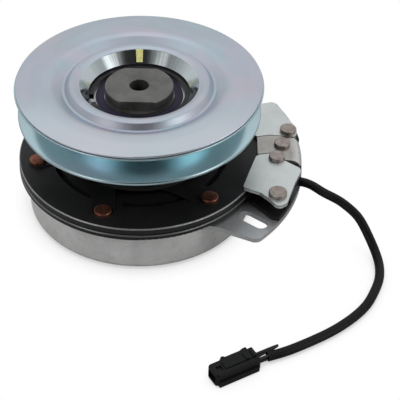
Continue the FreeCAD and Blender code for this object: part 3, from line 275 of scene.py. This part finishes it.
def zinc(name, hues, rough, brush, line_bump, cover=False):
    """Blue zinc plating with concentric tool lines and faint colour play."""
    mat = Surface(name, base=(0.6, 0.64, 0.70), metallic=1.0, rough=0.2)
    radius, angle, z = mat.polar()
    lines = mat.stretched((radius, 5200.0), (angle, 0.6), (z, 2600.0), detail=4, rough=0.7)
    coarse = mat.stretched((radius, 420.0), (angle, 0.35), (z, 240.0), detail=2, rough=0.5)
    cloud = mat.noise(scale=34, detail=3, rough=0.5)
    hue = mat.stretched((radius, 60.0), (mat.math("SINE", angle), 1.1),
                        (mat.math("COSINE", angle), 1.1), detail=2, rough=0.5)
    tint = mat.ramp(hue, hues)
    if cover:
        tint = cover_play(mat, radius, angle, tint)
    tint = mat.mix(mat.span(coarse, to=(0.0, 0.07)), tint, (0.74, 0.76, 0.80))
    tint = mat.mix(mat.span(cloud, over=(0.35, 0.75), to=(0.0, 0.10)), tint, (0.46, 0.50, 0.55))
    rough = mat.span(lines, to=rough)
    if cover:
        tint, rough = cover_bore(mat, radius, angle, tint, rough)
        tint, rough = paint_mark(mat, radius, angle, tint, rough)
    mat.put("Base Color", mat.worn(tint, (0.86, 0.88, 0.90), amount=0.6, radius=0.0005))
    mat.put("Roughness", rough)
    mat.radial_brush(brush)
    fine = mat.bump(lines, strength=line_bump, distance=0.00003)
    mat.put("Normal", mat.bump(coarse, strength=0.015, distance=0.0002, under=fine))
    return mat.material


# ------------------------------------------------------------------ other materials
def steel(name, dark, light, rough, grain=None, bump=0.15, wear=0.4,
          stain=(0.3, 0.29, 0.27), stained=0.15, metallic=1.0):
    """Mottled steel with light edge wear; turned about Z where no grain scale is given."""
    mat = Surface(name, base=light, metallic=metallic, rough=rough[0])
    if grain is None:
        radius, angle, z = mat.polar()
        fine = mat.stretched((radius, 3800.0), (angle, 1.4), (z, 3800.0), detail=4, rough=0.7)
        mat.radial_brush(0.5)
    else:
        fine = mat.noise(scale=grain, detail=5, rough=0.65)
    cloud = mat.noise(scale=60, detail=4, rough=0.6)
    colour = mat.two_tone(cloud, dark, light)
    glint = mat.span(fine, over=(0.35, 0.65), to=(0.0, 0.25))
    colour = mat.mix(glint, colour, scaled(light, 1.25))
    spots = mat.noise(scale=150, detail=5, rough=0.7, distortion=0.6)
    colour = mat.mix(mat.span(spots, over=(0.56, 0.72), to=(0.0, stained)), colour, stain)
    mat.put("Base Color", mat.worn(colour, scaled(light, 1.3), amount=wear))
    mat.put("Roughness", mat.span(mat.weigh(fine, cloud, weight=0.5), to=rough))
    mat.put("Normal", mat.bump(fine, strength=bump, distance=0.00006))
    return mat.material


def coat(name, colour, rough, grain, bump, dust, wear=0.0, wear_colour=None, spec=0.3):
    """Coating or moulded plastic: fine orange peel and specks of dust."""
    mat = Surface(name, base=colour, metallic=0.0, rough=rough[0], spec=spec)
    peel = mat.noise(scale=grain, detail=4, rough=0.6)
    cloud = mat.noise(scale=90, detail=3, rough=0.6)
    base = mat.mix(mat.span(cloud), colour, lifted(colour, 1.4))
    specks = mat.noise(scale=2600, detail=2, rough=0.5)
    dusty = mat.span(specks, over=(0.66, 0.76), to=(0.0, dust))
    base = mat.mix(dusty, base, (0.45, 0.44, 0.42))
    if wear > 0:
        base = mat.worn(base, wear_colour, amount=wear)
    mat.put("Base Color", base)
    mat.put("Roughness", mat.span(mat.weigh(peel, cloud, weight=0.4), to=rough))
    mat.put("Normal", mat.bump(peel, strength=bump, distance=0.00008))
    return mat.material


def lip_coat(name, colour, lip_radius, lip_z, highlight_grey, rough):
    """Black coating with a painted highlight along its upper outer lip, with faint rings."""
    mat = Surface(name, base=colour, metallic=0.0, rough=rough[0], spec=0.35)
    radius, angle, z = mat.polar()
    peel = mat.noise(scale=900, detail=4, rough=0.6)
    cloud = mat.noise(scale=70, detail=4, rough=0.65)
    rings = mat.stretched((radius, 900.0), (angle, 1.2), detail=3, rough=0.6)
    base = mat.mix(mat.span(cloud), colour, lifted(colour, 1.5))
    ringed = mat.span(rings, over=(0.55, 0.75), to=(0.0, 0.25))
    base = mat.mix(ringed, base, (0.022, 0.022, 0.023))
    specks = mat.noise(scale=2600, detail=2, rough=0.5)
    dusty = mat.span(specks, over=(0.67, 0.76), to=(0.0, 0.06))
    base = mat.mix(dusty, base, (0.30, 0.29, 0.27))
    # Painted highlight: a thin band on the upper outer lip turns light grey, metallic and
    # smoother, standing in for the specular line on the rounded edge.
    lip = mat.mul(mat.span(radius, over=(lip_radius - 0.00075, lip_radius - 0.00035)),
                  mat.span(z, over=(lip_z - 0.0010, lip_z - 0.0005)))
    patches = mat.stretched((angle, 5.0), (z, 900.0), detail=3, rough=0.6)
    patchy = mat.span(patches, over=(0.30, 0.60), to=(0.35, 1.0))
    lip_highlight = mat.mul(lip, patchy, clamp=True)
    mat.put("Base Color", mat.mix(lip_highlight, base, (highlight_grey, highlight_grey, highlight_grey * 1.01)))
    mat.put("Metallic", mat.mul(lip_highlight, 0.85))
    coat_rough = mat.span(mat.weigh(peel, cloud, weight=0.4), to=rough)
    mat.put("Roughness", mat.sub(coat_rough, mat.mul(lip_highlight, 0.14)))
    mat.put("Normal", mat.bump(peel, strength=0.2, distance=0.00008))
    return mat.material


def nickel_clip():
    """Nickel plated clip: warm grey on its flat, with a painted highlight round the outer bend.
    """
    mat = Surface("nickel_clip", base=(0.45, 0.43, 0.40), metallic=0.88, rough=0.3)
    x, y, _ = mat.xyz()
    radius = mat.radius(x, y)
    fine = mat.noise(scale=420, detail=5, rough=0.65)
    cloud = mat.noise(scale=75, detail=4, rough=0.6)
    colour = mat.two_tone(cloud, (0.36, 0.34, 0.31), (0.52, 0.49, 0.455))
    glint = mat.span(fine, over=(0.35, 0.65), to=(0.0, 0.25))
    colour = mat.mix(glint, colour, (0.62, 0.60, 0.56))
    # Painted highlight: the outer bend, found by its distance from the axis, is mixed to near
    # white.
    ragged = mat.jitter(mat.noise(scale=160, detail=3, rough=0.6), size=0.003)
    bend_highlight = mat.span(mat.add(radius, ragged), over=(0.0955, 0.0995), to=(0.0, 0.85))
    colour = mat.mix(bend_highlight, colour, (0.86, 0.87, 0.86))
    mat.put("Base Color", mat.worn(colour, (0.9, 0.9, 0.88), amount=0.7))
    mat.put("Roughness", mat.span(fine, to=(0.26, 0.38)))
    mat.put("Normal", mat.bump(fine, strength=0.15, distance=0.00006))
    return mat.material


def pole_zinc():
    """Two stacked zinc plated sheets: a fine dark seam half way up the edge."""
    seam_z = 0.03795
    mat = Surface("pole_zinc", base=(0.7, 0.74, 0.73), metallic=0.82, rough=0.36)
    _, _, z = mat.xyz()
    fine = mat.noise(scale=420, detail=5, rough=0.65)
    cloud = mat.noise(scale=48, detail=4, rough=0.6)
    spots = mat.noise(scale=120, detail=5, rough=0.7, distortion=0.8)
    colour = mat.two_tone(cloud, (0.64, 0.68, 0.665), (0.78, 0.81, 0.80))
    glint = mat.span(fine, over=(0.35, 0.65), to=(0.0, 0.22))
    colour = mat.mix(glint, colour, (0.86, 0.89, 0.88))
    stained = mat.span(spots, over=(0.58, 0.74), to=(0.0, 0.16))
    colour = mat.mix(stained, colour, (0.50, 0.50, 0.47))
    colour = mat.worn(colour, (0.95, 0.96, 0.95), amount=0.8, radius=0.0005)
    wobble = mat.jitter(mat.noise(scale=90, detail=2, rough=0.5), size=0.0002)
    seam = mat.span(mat.away(mat.add(z, wobble), seam_z), over=(0.00022, 0.00008))
    mat.put("Base Color", mat.mix(seam, colour, (0.05, 0.05, 0.05)))
    mat.put("Roughness", mat.span(mat.weigh(fine, cloud, weight=0.5), to=(0.34, 0.46)))
    grain = mat.bump(fine, strength=0.15, distance=0.00006)
    mat.put("Normal", mat.bump(mat.mul(seam, -1.0), strength=0.6, distance=0.0002, under=grain))
    return mat.material


def rivet_head(name, dark, light, edge, dent):
    """Pressed rivet head: small peen marks on the flat, and a bright rim that is partly edge wear
    and partly a painted highlight.
    """
    mat = Surface(name, base=light, metallic=0.9, rough=0.34)
    peens = mat.voronoi(scale=1500.0)
    fine = mat.noise(scale=800, detail=4, rough=0.7)
    cloud = mat.noise(scale=260, detail=4, rough=0.65)
    colour = mat.two_tone(cloud, dark, light)
    pits = mat.span(peens, over=(0.10, 0.45), to=(0.35, 0.0))
    colour = mat.mix(pits, colour, scaled(dark, 0.35))
    # The bright rim colour is partly wear and partly a painted highlight along the lit edge.
    mat.put("Base Color", mat.worn(colour, edge, amount=0.9, radius=0.0005))
    mat.put("Roughness", mat.span(fine, to=(0.26, 0.46)))
    dents = mat.bump(peens, strength=dent, distance=0.0001)
    mat.put("Normal", mat.bump(fine, strength=0.2, distance=0.00005, under=dents))
    return mat.material


def coil_wire():
    """Copper winding, its turns laid out by height and radius."""
    wire_pitch = 0.0006
    mat = Surface("coil_wire_mat", base=(0.45, 0.20, 0.09), metallic=0.9, rough=0.3)
    x, y, z = mat.xyz()
    turns, layers = [
        mat.math("ABSOLUTE", mat.math("SINE", mat.mul(value, math.pi / wire_pitch)))
        for value in (z, mat.radius(x, y))]
    height = mat.mul(turns, layers)
    copper = mat.two_tone(mat.noise(scale=200), (0.42, 0.17, 0.07), (0.60, 0.28, 0.13))
    mat.put("Base Color", mat.mix(mat.span(height, over=(0.0, 0.6)), (0.16, 0.06, 0.02), copper))
    mat.put("Normal", mat.bump(height, strength=0.8, distance=0.0003))
    return mat.material


# ------------------------------------------------------------------ dressing the CAD pieces
def dress(material, *names):
    """Give a material to every slot of the named pieces."""
    for name in names:
        for slot in NODES[name].material_slots:
            slot.material = material
    return material


dress(zinc("zinc_cover", COVER_HUES, rough=(0.30, 0.36), brush=0.65, line_bump=0.03, cover=True),
      "pulley_cover")
dress(zinc("zinc_groove", GROOVE_HUES, rough=(0.20, 0.25), brush=0.45, line_bump=0.02),
      "pulley_groove")
dress(steel("turned_steel", (0.68, 0.685, 0.66), (0.88, 0.885, 0.86), rough=(0.50, 0.62),
            bump=0.18, wear=0.3, stain=(0.42, 0.43, 0.40), stained=0.3, metallic=0.66),
      "field_shell")
dress(steel("plate_steel", (0.48, 0.48, 0.485), (0.60, 0.60, 0.605), rough=(0.36, 0.50),
            grain=500, bump=0.2, wear=0.5, metallic=0.85), "anti_rotation_plate")
dress(pole_zinc(), "pole_plate_front", "pole_plate_rear")
dress(nickel_clip(), "brake_clip")
nickel_rivet = dress(
    rivet_head("nickel_rivet", (0.30, 0.25, 0.22), (0.52, 0.45, 0.41),
               edge=(0.86, 0.84, 0.80), dent=0.5), "brake_rivets")
dress(rivet_head("copper_rivet", (0.20, 0.07, 0.045), (0.42, 0.17, 0.11),
                 edge=(0.78, 0.42, 0.30), dent=0.3), "armature_rivets")
dress(steel("collar_steel", (0.11, 0.107, 0.10), (0.215, 0.21, 0.20), rough=(0.38, 0.55),
            grain=500, bump=0.3, wear=0.6, stain=(0.30, 0.27, 0.22), stained=0.3,
            metallic=0.85), "collar")
dress(lip_coat("armature_black", (0.007, 0.007, 0.0072), lip_radius=0.0769, lip_z=0.0365,
               highlight_grey=0.42, rough=(0.30, 0.46)), "armature_plate")
dress(lip_coat("rotor_black", (0.006, 0.006, 0.0062), lip_radius=0.0772, lip_z=0.0315,
               highlight_grey=0.26, rough=(0.28, 0.42)), "rotor_disc")
dress(coat("leaf_black", (0.006, 0.006, 0.0062), rough=(0.30, 0.42), grain=1100, bump=0.15,
           dust=0.04, wear=0.3, wear_colour=(0.12, 0.12, 0.12)), "leaf_springs", "hub_rivets")
dress(coat("hub_black", (0.016, 0.016, 0.017), rough=(0.35, 0.50), grain=900, bump=0.2,
           dust=0.03), "pulley_web", "pulley_hub")
dress(coat("seal_rubber", (0.012, 0.008, 0.026), rough=(0.34, 0.48), grain=1500, bump=0.12,
           dust=0.05), "field_bearing_seals", "pulley_bearing_seals")
dress(steel("ring_black", (0.016, 0.016, 0.018), (0.035, 0.035, 0.038), rough=(0.26, 0.38),
            grain=900, wear=0.5, metallic=0.7), "field_snap_ring", "pulley_snap_ring")
dress(coat("block_plastic", (0.007, 0.007, 0.0072), rough=(0.40, 0.55), grain=1100, bump=0.25,
           dust=0.05), "brake_housing")
dress(coat("lead_sleeve_mat", (0.004, 0.004, 0.0042), rough=(0.34, 0.46), grain=1300,
           bump=0.12, dust=0.02, spec=0.18), "lead_grommet", "lead_sleeve")
dress(coat("wire_mat", (0.012, 0.012, 0.012), rough=(0.38, 0.5), grain=1600, bump=0.1,
           dust=0.02), "lead_wires")
dress(coat("plug_nylon", (0.004, 0.004, 0.0042), rough=(0.32, 0.48), grain=1700, bump=0.25,
           dust=0.03, wear=0.2, wear_colour=(0.05, 0.05, 0.05), spec=0.2),
      "plug_housing", "plug_latch")
dress(steel("hub_steel", (0.26, 0.26, 0.265), (0.38, 0.38, 0.385), rough=(0.28, 0.42)),
      "rotor_hub")
dress(steel("bearing_steel", (0.40, 0.40, 0.405), (0.52, 0.52, 0.525), rough=(0.14, 0.24)),
      "field_bearing_outer", "field_bearing_inner",
      "pulley_bearing_inner", "pulley_bearing_outer")
dress(steel("ball_steel", (0.62, 0.62, 0.63), (0.72, 0.72, 0.73), rough=(0.06, 0.12),
            grain=900, bump=0.02, wear=0.0), "field_bearing_balls", "pulley_bearing_balls")
dress(coat("cage_nylon", (0.20, 0.15, 0.10), rough=(0.4, 0.5), grain=1500, bump=0.1, dust=0.0),
      "field_bearing_cage", "pulley_bearing_cage")
dress(coat("friction_lining", (0.10, 0.08, 0.06), rough=(0.7, 0.9), grain=900, bump=0.6,
           dust=0.25), "friction_ring")
dress(coat("bobbin_nylon", (0.03, 0.03, 0.03), rough=(0.4, 0.5), grain=1500, bump=0.1,
           dust=0.0), "coil_bobbin")
dress(coat("potting_resin", (0.010, 0.010, 0.011), rough=(0.12, 0.28), grain=120, bump=0.3,
           dust=0.0), "potting_ring")
dress(coat("ferrite", (0.05, 0.05, 0.052), rough=(0.5, 0.7), grain=900, bump=0.3, dust=0.0),
      "brake_magnet")
dress(coat("wire_seal_mat", (0.16, 0.03, 0.02), rough=(0.4, 0.5), grain=1500, bump=0.1,
           dust=0.0), "plug_seals")
dress(steel("terminal_tin", (0.60, 0.59, 0.56), (0.74, 0.72, 0.69), rough=(0.16, 0.28),
            grain=900, bump=0.05, wear=0.2), "plug_terminals")
dress(coil_wire(), "coil_winding")


# ------------------------------------------------------------------ brake rivets, mm
# x, y, head radius, head height
RIVETS = ((94.9, 16.6, 5.2, 2.5), (90.1, 2.2, 5.1, 2.3), (85.9, -11.7, 5.1, 2.3),
          (84.1, -47.6, 5.6, 2.6))
SHANK_RADIUS = 2.5
FOOT_RADIUS = 3.8
FOOT_HEIGHT = 1.4
FOOT_CHAMFER = 0.5
SEAT_CHAMFER = 0.25     # under the head's rim
HEAD_ROUND = 0.6        # radius of the head's upper edge
ROUND_STEPS = 6
SMOOTH_ANGLE = 40.0     # edges sharper than this stay sharp, degrees
# share of the head radius, height above the nominal top: a slightly dished face
HEAD_FACE = ((0.80, 0.02), (0.72, -0.07), (0.40, -0.10), (0, -0.10))


def rivet_outline(foot_z, seat_z, radius, height):
    """(radius, z) points from the axis at the foot to the axis on the head."""
    top = seat_z + height
    outline = [
        (0, foot_z), (FOOT_RADIUS - FOOT_CHAMFER, foot_z), (FOOT_RADIUS, foot_z + FOOT_CHAMFER),
        (FOOT_RADIUS, foot_z + FOOT_HEIGHT), (SHANK_RADIUS, foot_z + FOOT_HEIGHT),
        (SHANK_RADIUS, seat_z), (radius - SEAT_CHAMFER, seat_z), (radius, seat_z + SEAT_CHAMFER)]
    for i in range(ROUND_STEPS + 1):
        angle = math.radians(90 * i / ROUND_STEPS)
        outline.append((radius - HEAD_ROUND + HEAD_ROUND * math.cos(angle),
                        top - HEAD_ROUND + HEAD_ROUND * math.sin(angle)))
    return outline + [(radius * share, top + rise) for share, rise in HEAD_FACE]


def lathe(mesh, outline, x, y, segments=48):
    """Closed turned solid about the vertical line through (x, y)."""
    rings = []
    for radius, z in outline:
        # a point on the axis needs a single vertex
        count = 1 if radius < 1e-6 else segments
        turns = [2 * math.pi * k / segments for k in range(count)]
        rings.append([mesh.verts.new(((x + radius * math.cos(turn)) * MM,
                                      (y + radius * math.sin(turn)) * MM, z * MM))
                      for turn in turns])
    for low, high in zip(rings[:-1], rings[1:]):
        for k in range(segments):
            after = (k + 1) % segments
            if len(low) == 1:
                mesh.faces.new((low[0], high[after], high[k]))
            elif len(high) == 1:
                mesh.faces.new((low[k], low[after], high[0]))
            else:
                mesh.faces.new((low[k], low[after], high[after], high[k]))


def add_object(name, data):
    item = bpy.data.objects.new(name, data)
    bpy.context.collection.objects.link(item)
    return item


def build_rivets():
    """Shank and foot below, a broad pressed head with a rounded edge above."""
    foot_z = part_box("brake_rivets")[0][2] / MM
    seat_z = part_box("pole_plate_front")[1][2] / MM
    solid = bmesh.new()
    for x, y, radius, height in RIVETS:
        lathe(solid, rivet_outline(foot_z, seat_z, radius, height), x, y)
    bmesh.ops.recalc_face_normals(solid, faces=solid.faces)
    mesh = bpy.data.meshes.new("brake_rivet_heads")
    solid.to_mesh(mesh)
    solid.free()
    mesh.materials.append(nickel_rivet)
    rivets = add_object("brake_rivet_heads", mesh)
    for face in mesh.polygons:
        face.use_smooth = True
    mesh.set_sharp_from_angle(angle=math.radians(SMOOTH_ANGLE))
    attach(rivets, "field")
    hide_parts("brake_rivets")


build_rivets()


# ------------------------------------------------------------------ floor
def floor_white():
    """Grey to the light, but white with soft contact shading to the camera."""
    mat = Surface("floor_white", base=(0.3, 0.3, 0.3), metallic=0.0, rough=0.7, spec=0.1)
    cloud = mat.noise(scale=3, detail=2, rough=0.5)
    mat.put("Base Color", mat.mix(cloud, (0.30, 0.30, 0.305), (0.33, 0.33, 0.33)))
    occlusion = mat.node("AmbientOcclusion", {"Distance": 0.018}, samples=8)
    contact = mat.ramp(occlusion.outputs["AO"],
                       ((0.30, 0.60), (0.72, 0.955), (0.90, 1.0), (1.0, 1.0)), "EASE")
    glow = mat.node("Emission", {0: contact})
    seen = mat.node("LightPath").outputs["Is Camera Ray"]
    mixed = mat.node("MixShader", {0: seen, 1: mat.target.outputs[0], 2: glow.outputs[0]})
    mat.feed(mat.tree.nodes["Material Output"].inputs[0], mixed.outputs[0])
    return mat.material


def build_floor():
    half = 6.0
    drop = 0.0003       # just below Z = 0
    material = floor_white()
    mesh = bpy.data.meshes.new("floor")
    corners = [(-half, -half, 0), (half, -half, 0), (half, half, 0), (-half, half, 0)]
    mesh.from_pydata(corners, [], [(0, 1, 2, 3)])
    mesh.materials.append(material)
    floor = add_object("floor", mesh)
    floor.location = (0, 0, -drop)


build_floor()


# ------------------------------------------------------------------ surround
def build_surround():
    """Bright back and top, dark behind the camera, two tall soft panels at its sides."""
    world = bpy.data.worlds.new("studio")
    world.use_nodes = True
    bpy.context.scene.world = world
    sky = Shader(world.node_tree, "Background", "Generated")
    x, y, z = sky.xyz()
    # degrees: azimuth is 0 towards the camera side and grows to the right
    azimuth = sky.mul(sky.math("ARCTAN2", x, sky.mul(y, -1.0)), 180.0 / math.pi)
    elevation = sky.mul(sky.math("ARCSINE", z), 180.0 / math.pi)

    def panel(centre, half, low=-8.0, high=32.0, side_fade=10.0, end_fade=12.0):
        """1 inside a soft-edged patch of sky, 0 outside; all in degrees."""
        across = sky.span(sky.away(azimuth, centre), over=(half + side_fade, half))
        bottom = sky.span(elevation, over=(low - end_fade, low))
        top = sky.span(elevation, over=(high + end_fade, high))
        return sky.mul(across, sky.mul(bottom, top))

    back = sky.span(sky.math("ABSOLUTE", azimuth), over=(48.0, 108.0))
    above = sky.span(elevation, over=(20.0, 60.0))
    light = sky.add(0.07, sky.mul(back, 0.52))
    for part, strength in ((above, 0.28), (panel(centre=-46.0, half=8.0), 1.6),
                           (panel(centre=60.0, half=9.0), 1.9)):
        light = sky.add(light, sky.mul(part, strength))
    dark = panel(centre=7.0, half=25.0, low=-30.0, high=64.0, end_fade=10.0)
    light = sky.mul(light, sky.sub(1.0, sky.mul(dark, 0.84)))
    tone = sky.mix(sky.span(elevation, over=(0.0, 60.0)), (1.0, 0.99, 0.98), (0.93, 0.97, 1.0))
    sky.put("Color", tone)
    sky.put("Strength", light)


build_surround()


# ------------------------------------------------------------------ lights and camera
def area_light(name, location, target, size, power):
    """Square light aimed at a target and unseen in reflections."""
    data = bpy.data.lights.new(name, "AREA")
    data.energy = power
    data.size = size
    lamp = add_object(name, data)
    lamp.location = location
    aim = Vector(target) - Vector(location)
    lamp.rotation_euler = aim.to_track_quat("-Z", "Y").to_euler()
    lamp.visible_glossy = False


area_light("key_left", (-0.75, -0.35, 0.85), target=(0, 0, 0.05), size=0.5, power=5.5)
area_light("fill_right", (0.85, -0.35, 0.65), target=(0, 0, 0.05), size=0.4, power=3.0)
area_light("top_soft", (0.1, 0.35, 1.2), target=(0, 0, 0), size=0.9, power=4.0)

lens = bpy.data.cameras.new("camera")
lens.lens = 109.23
lens.sensor_width = 36.0
lens.shift_x = 0.075
lens.clip_start = 0.01
camera = add_object("camera", lens)
camera.location = (0.0188, -0.6124, 0.5095)
camera.rotation_euler = (math.radians(49.95), 0, 0)
bpy.context.scene.camera = camera
bpy.context.scene.view_settings.view_transform = "Standard"
